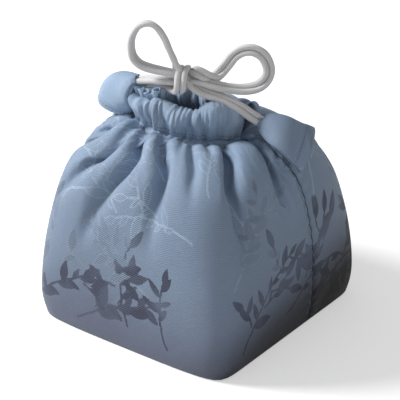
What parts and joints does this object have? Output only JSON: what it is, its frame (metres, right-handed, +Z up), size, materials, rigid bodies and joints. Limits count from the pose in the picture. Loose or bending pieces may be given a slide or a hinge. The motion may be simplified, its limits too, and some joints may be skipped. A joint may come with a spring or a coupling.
{
  "type": "drawstring teapot bag",
  "caption": "Padded square-based cloth bag that holds a teapot, with a gathered neck closed by two cords tied in a bow and ending in fabric tabs",
  "frame": {"origin": "middle of the base's underside, on the surface that the bag stands on", "axes": "+Z up through the neck; X and Y across the square base, the side seams on the +X and -X faces, the front panel towards -Y"},
  "size_m": [0.1584, 0.1584, 0.2065],
  "materials": {
    "outer_cloth": "grey-blue jacquard weave shading to charcoal at the base, satin sprigs on a matt ground",
    "lining_cloth": "plain matt blue-grey lining over wadding",
    "cord_yarn": "pale grey round braided cord, slightly lustrous"
  },
  "bodies": {
    "root": {"base_panel": "outer_cloth", "front_panel": "outer_cloth", "back_panel": "outer_cloth", "front_casing": "outer_cloth", "back_casing": "outer_cloth", "left_tab": "outer_cloth", "right_tab": "outer_cloth", "padded_lining": "lining_cloth", "left_channel_cord": "cord_yarn", "right_channel_cord": "cord_yarn", "left_lead_front": "cord_yarn", "left_lead_back": "cord_yarn", "left_loop_front": "cord_yarn", "left_loop_back": "cord_yarn", "left_tail_front": "cord_yarn", "left_tail_back": "cord_yarn", "right_lead_front": "cord_yarn", "right_lead_back": "cord_yarn", "right_loop_front": "cord_yarn", "right_loop_back": "cord_yarn", "right_tail_front": "cord_yarn", "right_tail_back": "cord_yarn", "bow_knot": "cord_yarn"}
  },
  "joints": []
}
